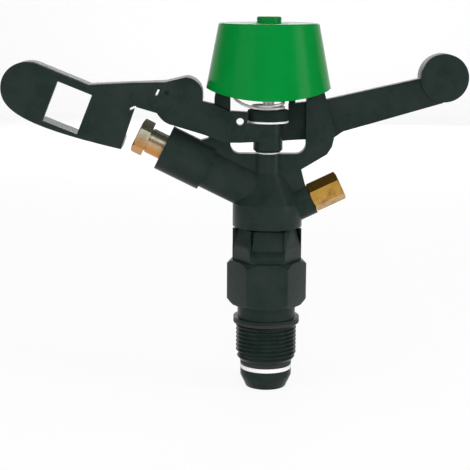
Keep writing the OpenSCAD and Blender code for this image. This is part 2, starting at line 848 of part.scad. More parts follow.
module spreader_nozzle_seal() {
    color("#151616")
        along_rear_boss()
            ring(spreader_shank_d, spreader_throat, rear_len - spreader_seat, spreader_seal_t);
}

// ---- pivot ----

module fulcrum_pin() {
    color("#c6c8c8")
        translate([0, 0, pin_foot_z])
            cylinder(r = pin_r, h = bridge_top_z + pin_top - pin_foot_z);
}

module pin_retaining_ring() {
    color("#8d9090")
        ring(retainer_d, pin_d, bridge_top_z, retainer_t);
}

module lower_thrust_washer() {
    color("#f2f1ec")
        ring(lower_washer_d, pin_d + loose, sill_z, lower_washer_t);
}

module upper_thrust_washer() {
    color("#f2f1ec")
        ring(upper_washer_d, pin_d + loose, hub_top_z, upper_washer_t);
}

module arm_bush(z) {
    color("#e9e6dc")
        ring(bush_d, pin_d + 2 * bush_clearance, z, bush_len);
}

module spring_seat() {
    color("#23292a") {
        ring(spring_seat_d, pin_d + loose, spring_seat_foot_z, spring_seat_h);
        ring(2 * (arm_coil_r - loose) - arm_wire, pin_d + loose, spring_seat_foot_z, spring_seat_h + pilot_h);
    }
}

// the arm spring's free leg opens out from the lowest turn, rises and rests on the fore post
leg_reach = window_half_w - arm_wire / 2 - touch_gap;
arm_spring_leg = [for (a = [90:-10:10])
    [-leg_reach * sin(a), -arm_coil_r * cos(a), coil_low_z + leg_rise * (1 - cos(a))]];

module arm_spring() {
    color("#b9bcbb")
        wire(concat(arm_spring_leg,
            coil_points(arm_coil_r, arm_turns, coil_low_z, coil_high_z, arm_wire, 270)), arm_wire);
}

module spring_anchor() {
    color("#23292a")
        ring(anchor_d, pin_d + 2 * touch_gap, anchor_z, anchor_h);
}

// ---- hammer arm ----

// height of the arm's long top edge at x, which falls a little towards the paddle
function top_edge(x) = hub_top_z + top_rise + top_fall * x;

// a smooth curve from a to d, which leaves a towards b and reaches d from c
function curve(a, b, c, d, steps = 12) =
    [for (i = [0:steps])
        let (t = i / steps)
        pow(1 - t, 3) * a + 3 * pow(1 - t, 2) * t * b + 3 * (1 - t) * pow(t, 2) * c + pow(t, 3) * d];

function turned(r, a) = r * [cos(a), sin(a)];

step_high = [-step_reach, hub_top_z + step_rise];
step_low = [step_len - step_reach, hub_top_z - step_drop];
step_h = step_rise + step_drop;
root_top_z = hub_top_z + root_rise;

// the fore half between the hub and the paddle, with the hump beside the hood
fore_outline = concat(
    [[0, web_low_z], [0, hub_top_z], [-hub_notch_r, hub_top_z], [-hub_notch_r, fore_web_top_z],
        [-dip_reach, fore_web_top_z + dip_rise], [-ramp_reach, fore_web_top_z + ramp_rise],
        [-hump_edge, fore_web_top_z + hump_foot_rise]],
    arc([-hump_edge - hump_r, fore_web_top_z + hump_rise], hump_r, 0, 90, 16),
    [[-hump_edge - hump_r - hump_run, top_edge(-hump_edge - hump_r - hump_run)],
        [-root_reach - root_lap, top_edge(-root_reach - root_lap)],
        [-root_reach - root_lap, root_top_z], [-root_reach, root_top_z]],
    curve(step_high, step_high + [step_len / 4, -step_h / 2], step_low - [step_len / 2, -step_h / 8],
        step_low, 6),
    [[-fore_heel_reach, hub_top_z - fore_heel_drop], [-fore_foot_reach, web_low_z]]);

// the paddle, which hangs into the jet behind its near plate
bend = [-bend_reach, top_edge(-bend_reach)];
toe = [-toe_reach, hub_top_z - toe_drop];
bend_ray = bend - nose;
nose_start = atan2(bend_ray[1], bend_ray[0]) + acos(nose_r / norm(bend_ray));
nose_end = nose + turned(nose_r, nose_turn);
paddle_outline = concat(
    [[-root_reach, top_edge(-root_reach)], bend],
    arc(nose, nose_r, nose_start, nose_turn, 20),
    curve(nose_end, nose_end + turned(nose_ease, nose_turn + 90), toe - turned(toe_ease, -toe_slope), toe),
    [[-root_reach, root_top_z]]);

// the aft half: web and beam
aft_outline = [[0, web_low_z - aft_foot_rise], [aft_foot_reach, web_low_z + aft_foot_rise],
    [beam_low_reach, hub_top_z - beam_low_drop], [weight_x, hub_top_z + beam_end_rise],
    [weight_x - weight_d / 4, hub_top_z + beam_top_rise], [beam_high_reach, hub_top_z + beam_high_rise],
    [hub_notch_r, aft_web_top_z], [hub_notch_r, hub_top_z], [0, hub_top_z]];

// the fore half seen from above; the aft half is the same, turned half round
arm_plan = [[0, -hub_d / 2], [-splay_in, -hub_d / 2], [-splay_out, -arm_far_y], [-weight_x, -arm_far_y],
    [-weight_x, -arm_near_y], [-splay_out, -arm_near_y], [-splay_in, -splay_in / 4], [0, 0]];

module plan_block(turn) {
    rotate([0, 0, turn])
        linear_extrude(hood_top_z)
            polygon(arm_plan);
}

// flanges along the paddle's top, end and bottom, open towards the nozzle
module paddle_flanges() {
    translate([0, paddle_depth - arm_far_y, 0])
        rotate([90, 0, 0])
            linear_extrude(paddle_depth - paddle_t / 2)
                difference() {
                    polygon(paddle_outline);
                    offset(delta = -flange_wall)
                        polygon(paddle_outline);
                    translate([-root_reach - paddle_mouth / 2, 0])
                        square([paddle_mouth, hood_top_z]);
                }
}

// a rim behind the arm's top edge, from the paddle round the hump
module arm_rim() {
    translate([0, paddle_depth - arm_far_y, 0])
        rotate([90, 0, 0])
            linear_extrude(paddle_depth - arm_t / 2)
                intersection() {
                    difference() {
                        polygon(fore_outline);
                        offset(delta = -flange_wall)
                            polygon(fore_outline);
                    }
                    translate([-rim_reach, fore_web_top_z + hump_foot_rise])
                        square([rim_reach - hump_edge, hood_top_z]);
                }
}

// puts things in the paddle window's own frame
module at_window() {
    translate([window_setback - paddle_reach, 0, window_z])
        rotate([0, window_tilt, 0])
            children();
}

module window_shelf() {
    at_window()
        translate([-paddle_window / 2 - shelf_lap, paddle_t / 2 - arm_far_y, -paddle_window_h / 2 - shelf_t])
            cube([paddle_window + 2 * shelf_lap, paddle_depth - paddle_t / 2 - shelf_setback, shelf_t]);
}

// the small slot with the blind hole beside it, and the relief slot at the paddle's root
module arm_slots() {
    slot_z = hub_top_z + slot_rise;
    translate([-slot_reach, -arm_far_y, slot_z])
        rotate([0, slot_lean, 0])
            cube([slot_w, 3 * arm_t, slot_len], center = true);
    cross_cylinder(dimple_step - slot_reach, slot_z, slot_w, -arm_far_y - cut, dimple_depth - arm_far_y);
    translate([-root_reach - slot_len / 3, -arm_far_y, root_top_z - slot_w / 2])
        rotate([0, -slot_lean, 0])
            cube([slot_len, 2 * paddle_t + cut, slot_w], center = true);
}

module hammer_arm() {
    color("#23292a")
        difference() {
            union() {
                translate([0, 0, hub_z])
                    cylinder(d1 = hub_d - 2 * hub_bevel, d2 = hub_d, h = hub_bevel);
                translate([0, 0, hub_z + hub_bevel])
                    cylinder(d = hub_d, h = hub_h - hub_bevel);
                intersection() {
                    side_plate(fore_outline, -arm_far_y - cut, 0);
                    plan_block(0);
                }
                intersection() {
                    side_plate(aft_outline, 0, arm_far_y + cut);
                    plan_block(180);
                }
                side_plate(paddle_outline, -arm_far_y, -arm_far_y + paddle_t);
                paddle_flanges();
                arm_rim();
                window_shelf();
                translate([hub_notch_r + hub_notch_gap, arm_near_y, aft_web_top_z - cut])
                    cube([lug_w, arm_t / 2, lug_h + cut]);
                cross_cylinder(weight_x, weight_z, weight_d / 2, weight_front_y, weight_back_y);
            }
            translate([0, 0, hub_z - cut])
                cylinder(d = bush_d + 2 * press_gap, h = hub_h + 2 * cut);
            translate([0, 0, hub_top_z])
                cylinder(r = hub_notch_r, h = hood_top_z - hub_top_z);
            at_window()
                cube([paddle_window, 2 * weight_x, paddle_window_h], center = true);
            arm_slots();
            cross_cylinder(weight_x, weight_z, weight_pocket_d / 2, weight_back_y - weight_pocket_depth,
                weight_back_y + cut);
            cross_cylinder(-hub_notch_r - hook_hole_d, hub_top_z + 1, hook_hole_d / 2, -arm_far_y - cut, 0);
        }
}

module counterweight_slug() {
    foot_y = weight_back_y - weight_pocket_depth;
    color("#8d9090")
        cross_cylinder(weight_x, weight_z, slug_r, foot_y, foot_y + slug_t);
}

module counterweight_cover() {
    color("#23292a")
        cross_cylinder(weight_x, weight_z, slug_r, weight_back_y - cover_recess - cover_t,
            weight_back_y - cover_recess);
}

// ---- hood ----

module hood() {
    roof_z = hood_top_z - hood_wall;
    inner_low_r = hood_low_r - hood_wall;
    inner_top_r = hood_top_r - hood_wall;
    color("#03833a") {
        intersection() {
            difference() {
                union() {
                    rotate_extrude()
                        polygon(concat([[0, hood_low_z], [hood_low_r, hood_low_z]],
                            arc([hood_top_r - hood_edge + hood_flare * hood_edge, hood_top_z - hood_edge],
                                hood_edge, 0, 90, 6),
                            [[0, hood_top_z]]));
                    translate([0, 0, hood_top_z - cut])
                        cylinder(d = knob_d, h = knob_h + cut);
                }
                rotate_extrude()
                    polygon([[0, hood_low_z - cut], [inner_low_r, hood_low_z - cut],
                        [inner_top_r, roof_z], [0, roof_z]]);
            }
            cross_cylinder(0, hood_low_z + rim_arc_r, rim_arc_r, -2 * hood_rim_r, 2 * hood_rim_r);
        }
        difference() {
            ring(hood_boss_d, pin_d + 2 * pin_seat_clearance, bridge_top_z, roof_z - bridge_top_z + embed);
            translate([0, 0, bridge_top_z - cut])
                cylinder(d = retainer_d + 2 * loose, h = retainer_t + loose + cut);
        }
    }
}

inlet_nipple();
inlet_gasket();
sand_guard();
bearing_spring();
seal_washer();
friction_washer();
spindle_tube();
sprinkler_body();
range_nozzle();
range_nozzle_seal();
stream_straightener();
spreader_nozzle();
spreader_nozzle_seal();
fulcrum_pin();
pin_retaining_ring();
lower_thrust_washer();
hammer_arm();
arm_bush(hub_z);  // lower_arm_bush
arm_bush(hub_top_z - bush_len);  // upper_arm_bush
upper_thrust_washer();
spring_seat();
arm_spring();
spring_anchor();
counterweight_slug();
counterweight_cover();
hood();
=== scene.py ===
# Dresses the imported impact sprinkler: its true thread, wire springs, machined nozzles, softened
# mouldings and finishes, in a white studio. The pieces are worked out in millimetres, and MM
# brings them to metres; the studio is laid out in metres.
import json
import math

import bmesh
import bpy
from mathutils import Matrix, Vector


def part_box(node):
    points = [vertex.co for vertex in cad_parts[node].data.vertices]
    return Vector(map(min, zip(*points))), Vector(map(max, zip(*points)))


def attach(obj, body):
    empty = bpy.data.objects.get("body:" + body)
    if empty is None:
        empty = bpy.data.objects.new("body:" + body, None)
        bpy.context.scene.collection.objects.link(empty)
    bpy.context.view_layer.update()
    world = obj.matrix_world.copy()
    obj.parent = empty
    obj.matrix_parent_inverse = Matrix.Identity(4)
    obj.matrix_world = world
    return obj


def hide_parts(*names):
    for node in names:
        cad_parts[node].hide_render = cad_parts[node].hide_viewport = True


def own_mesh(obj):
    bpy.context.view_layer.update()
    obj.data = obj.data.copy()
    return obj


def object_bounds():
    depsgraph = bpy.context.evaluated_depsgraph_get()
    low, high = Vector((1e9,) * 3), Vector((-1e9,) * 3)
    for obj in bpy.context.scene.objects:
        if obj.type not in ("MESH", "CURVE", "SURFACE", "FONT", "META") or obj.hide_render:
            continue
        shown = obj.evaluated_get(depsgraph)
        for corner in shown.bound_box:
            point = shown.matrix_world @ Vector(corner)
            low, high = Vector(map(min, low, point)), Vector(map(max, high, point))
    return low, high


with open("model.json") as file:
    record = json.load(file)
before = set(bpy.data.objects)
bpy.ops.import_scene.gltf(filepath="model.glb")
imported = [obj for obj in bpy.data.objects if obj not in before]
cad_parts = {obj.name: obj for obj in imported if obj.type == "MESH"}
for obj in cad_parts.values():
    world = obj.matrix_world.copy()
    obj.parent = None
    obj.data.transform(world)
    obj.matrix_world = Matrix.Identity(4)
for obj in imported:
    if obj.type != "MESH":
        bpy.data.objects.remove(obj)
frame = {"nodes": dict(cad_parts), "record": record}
cad_low, cad_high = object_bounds()
nodes = frame["nodes"]
scene = bpy.context.scene
scene.view_settings.view_transform = "Standard"
MM = 0.001
SLOT = {part["node"]: part["material_slot"] for part in frame["record"]["subparts"]}
BODY = {name: body for body, names in frame["record"]["behaviour"]["bodies"].items()
        for name in names}

# How far the two jets point above the level, and where their bores start on the head's axis
BARREL_RISE = math.radians(26.0)
BARREL_ROOT = 54.8
REAR_RISE = math.radians(25.6)
REAR_ROOT = 45.7
# How far the spring cup's pilot stands above its deck
PILOT_RISE = 1.2
# How much wider the pieces on the arm's hub are drawn, to close the daylight beside them
DAYLIGHT = {"upper_thrust_washer": 0.15, "spring_seat": 0.16}


# ---- studio ----


def hang_camera():
    """A long lens in front of the head, tipped down a little."""
    lens = bpy.data.cameras.new("camera")
    lens.lens = 101.55
    lens.sensor_width = 36.0
    lens.clip_start = 0.01
    lens.clip_end = 20.0
    camera = bpy.data.objects.new("camera", lens)
    place = Matrix.Translation((-13.85 * MM, -565 * MM, 145.8 * MM))
    pitch = Matrix.Rotation(math.radians(90 - 10.77), 4, "X")
    roll = Matrix.Rotation(math.radians(0.34), 4, "Z")
    camera.matrix_world = place @ pitch @ roll
    scene.collection.objects.link(camera)
    scene.camera = camera


def soft_box(name, place, size, watts, mirrored=True, aim=(0, 0, 0.08)):
    """A rectangular lamp in metres; one that isn't mirrored leaves no highlight."""
    lamp = bpy.data.lights.new(name, "AREA")
    lamp.shape = "RECTANGLE"
    lamp.size, lamp.size_y = size
    lamp.energy = watts
    holder = bpy.data.objects.new(name, lamp)
    holder.location = place
    holder.rotation_euler = (Vector(aim) - Vector(place)).to_track_quat("-Z", "Y").to_euler()
    holder.visible_glossy = mirrored
    scene.collection.objects.link(holder)


def mixed_shaders(tree, share, first, second):
    mix = tree.nodes.new("ShaderNodeMixShader")
    tree.links.new(share, mix.inputs["Fac"])
    tree.links.new(first, mix.inputs[1])
    tree.links.new(second, mix.inputs[2])
    return mix.outputs[0]


def light_studio():
    """A dim white room that shows white to the camera, and its lamps."""
    world = bpy.data.worlds.new("studio")
    world.use_nodes = True
    scene.world = world
    tree = world.node_tree
    tree.nodes.clear()

    def glow(strength):
        shade = tree.nodes.new("ShaderNodeBackground")
        shade.inputs["Color"].default_value = (1, 1, 1, 1)
        shade.inputs["Strength"].default_value = strength
        return shade.outputs[0]

    lighting, mirrored, seen = glow(0.28), glow(0.18), glow(1.0)
    rays = tree.nodes.new("ShaderNodeLightPath")
    room = mixed_shaders(tree, rays.outputs["Is Glossy Ray"], lighting, mirrored)
    room = mixed_shaders(tree, rays.outputs["Is Camera Ray"], room, seen)
    out = tree.nodes.new("ShaderNodeOutputWorld")
    tree.links.new(room, out.inputs["Surface"])

    soft_box("left_softbox", (-0.46, -0.386, 0.15), (0.42, 0.9), 1.1)
    soft_box("right_softbox", (0.55, -0.215, 0.12), (0.24, 0.9), 2.1)
    soft_box("top_softbox", (0.0, -0.15, 0.8), (0.9, 0.9), 1.3, mirrored=False)
    soft_box("front_fill", (0.0, -1.1, 0.10), (0.5, 0.5), 7.0, mirrored=False)
    soft_box("rear_fill", (0.1, 1.1, 0.15), (0.5, 0.3), 3.5, mirrored=False)
    soft_box("front_softbox", (0.0, -0.9, 0.72), (1.0, 0.40), 1.3)
    soft_box("rear_softbox", (0.0, 1.0, 0.335), (1.2, 0.12), 1.05, aim=(0, 0, 0.1))


def white_paper():
    """Matt paper that keeps a soft shadow and reads white to the camera, mirrors and glass."""
    paper_white, own_glow, glow_share = 0.85, 1.06, 0.82
    paper = bpy.data.materials.new("white_paper")
    paper.use_nodes = True
    tree = paper.node_tree
    tree.nodes.clear()
    matt = tree.nodes.new("ShaderNodeBsdfDiffuse")
    matt.inputs["Color"].default_value = (paper_white, paper_white, paper_white, 1)
    white = tree.nodes.new("ShaderNodeEmission")
    white.inputs["Color"].default_value = (1, 1, 1, 1)
    white.inputs["Strength"].default_value = own_glow
    rays = tree.nodes.new("ShaderNodeLightPath")
    looking = rays.outputs["Is Camera Ray"]
    for kind in ("Is Glossy Ray", "Is Transmission Ray"):
        either = tree.nodes.new("ShaderNodeMath")
        either.operation = "MAXIMUM"
        tree.links.new(looking, either.inputs[0])
        tree.links.new(rays.outputs[kind], either.inputs[1])
        looking = either.outputs[0]
    share = tree.nodes.new("ShaderNodeMath")
    share.operation = "MULTIPLY"
    share.inputs[1].default_value = glow_share
    tree.links.new(looking, share.inputs[0])
    surface = mixed_shaders(tree, share.outputs[0], matt.outputs[0], white.outputs[0])
    out = tree.nodes.new("ShaderNodeOutputMaterial")
    tree.links.new(surface, out.inputs["Surface"])
    return paper


def white_sheet(name, low, high, paper):
    bm = bmesh.new()
    bmesh.ops.create_cube(bm, size=1.0)
    bmesh.ops.scale(bm, vec=[b - a for a, b in zip(low, high)], verts=bm.verts)
    bmesh.ops.translate(bm, vec=[(a + b) / 2 for a, b in zip(low, high)], verts=bm.verts)
    mesh = bpy.data.meshes.new(name)
    bm.to_mesh(mesh)
    bm.free()
    mesh.materials.append(paper)
    sheet = bpy.data.objects.new(name, mesh)
    scene.collection.objects.link(sheet)


def lay_floor():
    """Paper just under the foot, and a low wall of it behind."""
    paper = white_paper()
    gap, thick = 0.0001, 0.002
    left, right, front, back, wall_top = -3.0, 3.0, -2.5, 1.2, 0.4
    ground = cad_low.z - gap
    white_sheet("floor", (left, front, ground - thick), (right, back, ground), paper)
    white_sheet("backdrop", (left, back, ground - thick), (right, back + thick, wall_top), paper)


# ---- finishes ----


COLOUR, NUMBER, PLACE = "NodeSocketColor", "NodeSocketFloat", "NodeSocketVector"


class Effect:
    """A shader node group that puts out a colour, a roughness and a height for the bump."""

    def __init__(self, name, inputs):
        self.group = bpy.data.node_groups.new(name, "ShaderNodeTree")
        for label, kind, value in inputs:
            socket = self.group.interface.new_socket(name=label, in_out="INPUT", socket_type=kind)
            socket.default_value = value
        for label, kind in (("Color", COLOUR), ("Roughness", NUMBER), ("Height", NUMBER)):
            self.group.interface.new_socket(name=label, in_out="OUTPUT", socket_type=kind)
        self.given = self.group.nodes.new("NodeGroupInput").outputs
        self.result = self.group.nodes.new("NodeGroupOutput").inputs

    def node(self, kind, **links):
        made = self.group.nodes.new(kind)
        for label, source in links.items():
            self.link(source, made.inputs[label])
        return made

    def link(self, source, target):
        self.group.links.new(source, target)

    def noise(self, vector, detail, **values):
        made = self.node("ShaderNodeTexNoise", Vector=vector)
        made.inputs["Detail"].default_value = detail
        for label, value in values.items():
            made.inputs[label].default_value = value
        return made

    def stretch(self, source, low, high):
        """Spreads the part of a pattern between low and high over 0 to 1."""
        made = self.node("ShaderNodeMapRange", Value=source)
        made.inputs["From Min"].default_value = low
        made.inputs["From Max"].default_value = high
        return made

    def blend(self, share, first, second):
        made = self.group.nodes.new("ShaderNodeMix")
        made.data_type = "RGBA"
        self.link(share, made.inputs["Factor"])
        self.link(first, made.inputs["A"])
        self.link(second, made.inputs["B"])
        return made.outputs["Result"]

    def gloss(self, pattern):
        """Lets the roughness wander with a pattern, between the two given values."""
        made = self.stretch(pattern, 0.3, 0.7)
        self.link(self.given["Gloss Low"], made.inputs["To Min"])
        self.link(self.given["Gloss High"], made.inputs["To Max"])
        self.link(made.outputs["Result"], self.result["Roughness"])


def moulded_skin():
    """Mottled colour, gloss and fine pits of a moulded plastic."""
    skin = Effect("moulded_skin", (
        ("Base", COLOUR, (0.1, 0.1, 0.1, 1)), ("Mottle", COLOUR, (0.2, 0.2, 0.2, 1)),
        ("Patch Scale", NUMBER, 90.0), ("Pit Scale", NUMBER, 3200.0),
        ("Gloss Low", NUMBER, 0.35), ("Gloss High", NUMBER, 0.5)))
    place = skin.node("ShaderNodeTexCoord").outputs["Object"]
    patches = skin.noise(place, 4.0, Roughness=0.6)
    skin.link(skin.given["Patch Scale"], patches.inputs["Scale"])
    share = skin.stretch(patches.outputs["Fac"], 0.35, 0.68).outputs["Result"]
    skin.link(skin.blend(share, skin.given["Base"], skin.given["Mottle"]), skin.result["Color"])
    pits = skin.noise(place, 2.0)
    skin.link(skin.given["Pit Scale"], pits.inputs["Scale"])
    skin.link(pits.outputs["Fac"], skin.result["Height"])
    skin.gloss(patches.outputs["Fac"])
    return skin.group


def turned_metal():
    """Tool rings along the piece's own axis, a little tarnish, and a painted reflection: a warmer
    colour on one side of the axis, below it.
    """
    metal = Effect("turned_metal", (
        ("Vector", PLACE, (0, 0, 0)), ("Base", COLOUR, (0.5, 0.5, 0.5, 1)),
        ("Tarnish", COLOUR, (0.3, 0.3, 0.3, 1)), ("Shade", COLOUR, (0.4, 0.4, 0.4, 1)),
        ("Painted Reflection Width", NUMBER, 0.006), ("Ring Scale", NUMBER, 900.0),
        ("Gloss Low", NUMBER, 0.2), ("Gloss High", NUMBER, 0.4)))
    rings = metal.node("ShaderNodeTexWave", Vector=metal.given["Vector"])
    rings.wave_type = "BANDS"
    rings.bands_direction = "Z"
    rings.inputs["Distortion"].default_value = 0.6
    rings.inputs["Detail"].default_value = 2.0
    metal.link(metal.given["Ring Scale"], rings.inputs["Scale"])
    metal.link(rings.outputs["Fac"], metal.result["Height"])
    stains = metal.noise(metal.given["Vector"], 5.0, Scale=260.0)
    share = metal.stretch(stains.outputs["Fac"], 0.42, 0.7).outputs["Result"]
    brass = metal.blend(share, metal.given["Base"], metal.given["Tarnish"])
    # Painted reflection: the Shade colour takes over where X falls below zero, on the piece's
    # lower side.
    across = metal.node("ShaderNodeSeparateXYZ", Vector=metal.given["Vector"]).outputs["X"]
    other_side = metal.group.nodes.new("ShaderNodeMath")
    other_side.operation = "MULTIPLY"
    other_side.inputs[1].default_value = -1.0
    metal.link(metal.given["Painted Reflection Width"], other_side.inputs[0])
    under = metal.node("ShaderNodeMapRange", Value=across)
    under.interpolation_type = "SMOOTHSTEP"
    metal.link(metal.given["Painted Reflection Width"], under.inputs["From Min"])
    metal.link(other_side.outputs[0], under.inputs["From Max"])
    with_painted_reflection = metal.blend(under.outputs["Result"], brass, metal.given["Shade"])
    metal.link(with_painted_reflection, metal.result["Color"])
    metal.gloss(stains.outputs["Fac"])
    return metal.group


def start_material(name, group, values, gloss, depth, strength):
    """A Principled material fed by an effect group; depth is the bump's, in millimetres."""
    finish = bpy.data.materials.new(name)
    finish.use_nodes = True
    tree = finish.node_tree
    shader = tree.nodes["Principled BSDF"]
    effect = tree.nodes.new("ShaderNodeGroup")
    effect.node_tree = group
    for label, value in values.items():
        effect.inputs[label].default_value = value
    effect.inputs["Gloss Low"].default_value, effect.inputs["Gloss High"].default_value = gloss
    bump = tree.nodes.new("ShaderNodeBump")
    bump.inputs["Distance"].default_value = depth * MM
    bump.inputs["Strength"].default_value = strength
    tree.links.new(effect.outputs["Color"], shader.inputs["Base Color"])
    tree.links.new(effect.outputs["Roughness"], shader.inputs["Roughness"])
    tree.links.new(effect.outputs["Height"], bump.inputs["Height"])
    tree.links.new(bump.outputs["Normal"], shader.inputs["Normal"])
    return finish, tree, shader, effect


def plastic(name, base, mottle, gloss, patch=90.0, depth=0.02, specular=0.5):
    values = {"Base": (*base, 1), "Mottle": (*mottle, 1), "Patch Scale": patch,
              "Pit Scale": 3200.0}
    finish, _, shader, _ = start_material(name, MOULDED, values, gloss, depth, 0.6)
    shader.inputs["Specular IOR Level"].default_value = specular
    return finish


def metal(name, base, tarnish, gloss, rings=900.0, depth=0.02, shade=None, painted_reflection_width=0.006,
          tilt=(0, 0, 0), shift=(0, 0, 0), metallic=0.88):
    """A turned metal; tilt and shift lay the pattern's Z along the piece's own axis. Its shade
    colour is a painted reflection on the lower side.
    """
    values = {"Base": (*base, 1), "Tarnish": (*tarnish, 1), "Shade": (*(shade or tarnish), 1),
              "Painted Reflection Width": painted_reflection_width, "Ring Scale": rings}
    finish, tree, shader, effect = start_material(name, TURNED, values, gloss, depth, 0.5)
    place = tree.nodes.new("ShaderNodeTexCoord")
    turn = tree.nodes.new("ShaderNodeMapping")
    turn.inputs["Rotation"].default_value = tilt
    turn.inputs["Location"].default_value = shift
    tree.links.new(place.outputs["Object"], turn.inputs["Vector"])
    tree.links.new(turn.outputs["Vector"], effect.inputs["Vector"])
    shader.inputs["Metallic"].default_value = metallic
    return finish


MOULDED = moulded_skin()
TURNED = turned_metal()
BLACK, BLACK_MOTTLE = (0.0115, 0.0212, 0.0184), (0.0196, 0.0288, 0.0253)
black = plastic("black_plastic", BLACK, BLACK_MOTTLE, (0.24, 0.34), specular=0.08)
matt_black = plastic("matt_black_plastic", BLACK, BLACK_MOTTLE, (0.6, 0.7), specular=0.05)
green = plastic("green_hood", (0.0002, 0.200, 0.028), (0.0008, 0.216, 0.035), (0.19, 0.25),
                patch=60.0, depth=0.006, specular=0.08)
white = plastic("white_washer", (0.93, 0.93, 0.91), (0.90, 0.90, 0.87), (0.35, 0.45))
ivory = plastic("ivory_plastic", (0.74, 0.71, 0.62), (0.68, 0.65, 0.56), (0.4, 0.5))
rubber = plastic("seal_rubber", (0.012, 0.013, 0.013), (0.018, 0.018, 0.018), (0.6, 0.75),
                 depth=0.03)
# Each brass has a painted reflection: its shade colour warms the nozzle's lower side.
range_brass = metal("range_nozzle_brass", (0.60, 0.58, 0.43), (0.42, 0.40, 0.30), (0.16, 0.30),
                    tilt=(0, math.pi / 2 - BARREL_RISE, 0),
                    shift=(-BARREL_ROOT * MM * math.cos(BARREL_RISE), 0, 0),
                    shade=(0.50, 0.23, 0.06), painted_reflection_width=0.004)
spreader_brass = metal("spreader_nozzle_brass", (0.50, 0.29, 0.075), (0.30, 0.15, 0.03),
                       (0.14, 0.26), tilt=(0, REAR_RISE - math.pi / 2, 0),
                       shift=(REAR_ROOT * MM * math.cos(REAR_RISE), 0, 0),
                       shade=(0.46, 0.25, 0.045), painted_reflection_width=0.004)
steel = metal("spring_steel", (0.86, 0.84, 0.82), (0.74, 0.72, 0.70), (0.3, 0.42), rings=1500.0,
              depth=0.005, metallic=0.45)
# Near-black spring steel: painted shade for the bearing coil, which sits in shadow between the
# head and the guard.
shade_dark_steel = metal("shade_darkened_spring_steel", (0.10, 0.10, 0.10), (0.06, 0.06, 0.06), (0.4, 0.5),
                    rings=1500.0, depth=0.005)
cast = metal("weight_metal", (0.30, 0.31, 0.31), (0.22, 0.22, 0.22), (0.45, 0.6), rings=500.0,
             depth=0.03)
FINISH = {"black_plastic": black, "green_hood": green, "white_washer": white,
          "white_plastic": ivory, "rubber": rubber, "brass": range_brass,
          "spring_steel": steel, "weight_metal": cast}


# ---- a maker's operations ----


def keep(bm, name, node, crease=32, finish=None):
    """Turns a finished bmesh into a piece that rides where its node does and stands for it."""
    mesh = bpy.data.meshes.new(name)
    bm.to_mesh(mesh)
    bm.free()
    mesh.shade_smooth()
    mesh.set_sharp_from_angle(angle=math.radians(crease))
    mesh.materials.append(finish or FINISH[SLOT[node]])
    piece = bpy.data.objects.new(name, mesh)
    scene.collection.objects.link(piece)
    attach(piece, BODY[node])
    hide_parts(node)
    return piece


def measures(node):
    """A node's outer radius, foot and top."""
    low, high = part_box(node)
    return high.x / MM, low.z / MM, high.z / MM


def merged_copy(node):
    bm = bmesh.new()
    bm.from_mesh(nodes[node].data)
    bmesh.ops.remove_doubles(bm, verts=bm.verts, dist=0.002 * MM)
    bmesh.ops.dissolve_limit(bm, angle_limit=math.radians(0.6), verts=bm.verts, edges=bm.edges)
    return bm


def round_edges(bm, edges, width, segments):
    bmesh.ops.bevel(bm, geom=edges, offset=width * MM, offset_type="OFFSET", affect="EDGES",
                    segments=segments, profile=0.5, clamp_overlap=True, material=-1)


def ease_edges(bm, width, sharp=28.0, segments=2, inside=None, crisp=None):
    """Rounds each edge that turns by more than sharp degrees, if it is inside and isn't crisp."""
    turned = [e for e in bm.edges
              if len(e.link_faces) == 2 and e.calc_face_angle(0.0) > math.radians(sharp)
              and (inside is None or all(inside(v.co) for v in e.verts))
              and not (crisp and all(crisp(v.co) for v in e.verts))]
    round_edges(bm, turned, width, segments)


def eased(node, name, width):
    bm = merged_copy(node)
    ease_edges(bm, width)
    keep(bm, name, node)


def spun(profile, steps=96):
    """A closed outline of radius and height, turned once about Z."""
    bm = bmesh.new()
    ring = [bm.verts.new((r * MM, 0, z * MM)) for r, z in profile]
    sides = [bm.edges.new((a, b)) for a, b in zip(ring, ring[1:] + ring[:1])]
    bmesh.ops.spin(bm, geom=ring + sides, cent=(0, 0, 0), axis=(0, 0, 1), dvec=(0, 0, 0),
                   angle=2 * math.pi, steps=steps, use_merge=True, use_duplicate=False)
    bmesh.ops.remove_doubles(bm, verts=bm.verts, dist=0.001 * MM)
    bmesh.ops.recalc_face_normals(bm, faces=bm.faces)
    return bm


def sawn(bm, place, way, **side):
    """Cuts a mesh with a plane and gives the edges of the cut."""
    cut = bmesh.ops.bisect_plane(bm, geom=bm.verts[:] + bm.edges[:] + bm.faces[:],
                                 dist=0.001 * MM, plane_co=place, plane_no=way, **side)
    return [part for part in cut["geom_cut"] if isinstance(part, bmesh.types.BMEdge)]


def merge_into(bm, other):
    """Adds a second bmesh's shape to the first."""
    carry = bpy.data.meshes.new("carry")
    other.to_mesh(carry)
    other.free()
    bm.from_mesh(carry)
    bpy.data.meshes.remove(carry)


def soft_wire(name, node, points, width, finish=None, sides=12):
    """A round wire along a line: a circle at each point, bridged to the one before."""
    bm = bmesh.new()
    path = [Vector(p) * MM for p in points]
    rims = []
    for i, here in enumerate(path):
        ahead = (path[min(i + 1, len(path) - 1)] - path[max(i - 1, 0)]).normalized()
        side = ahead.cross(Vector((0, 0, 1))).normalized()
        turn = Matrix((side, side.cross(ahead), ahead)).transposed().to_4x4()
        made = bmesh.ops.create_circle(bm, cap_ends=False, radius=width / 2 * MM, segments=sides,
                                       matrix=Matrix.Translation(here) @ turn)["verts"]
        rims.append(list(dict.fromkeys(e for v in made for e in v.link_edges)))
        if i:
            bmesh.ops.bridge_loops(bm, edges=rims[-2] + rims[-1])
    for end in (rims[0], rims[-1]):
        bmesh.ops.contextual_create(bm, geom=end)
    bmesh.ops.recalc_face_normals(bm, faces=bm.faces)
    return keep(bm, name, node, crease=50, finish=finish)


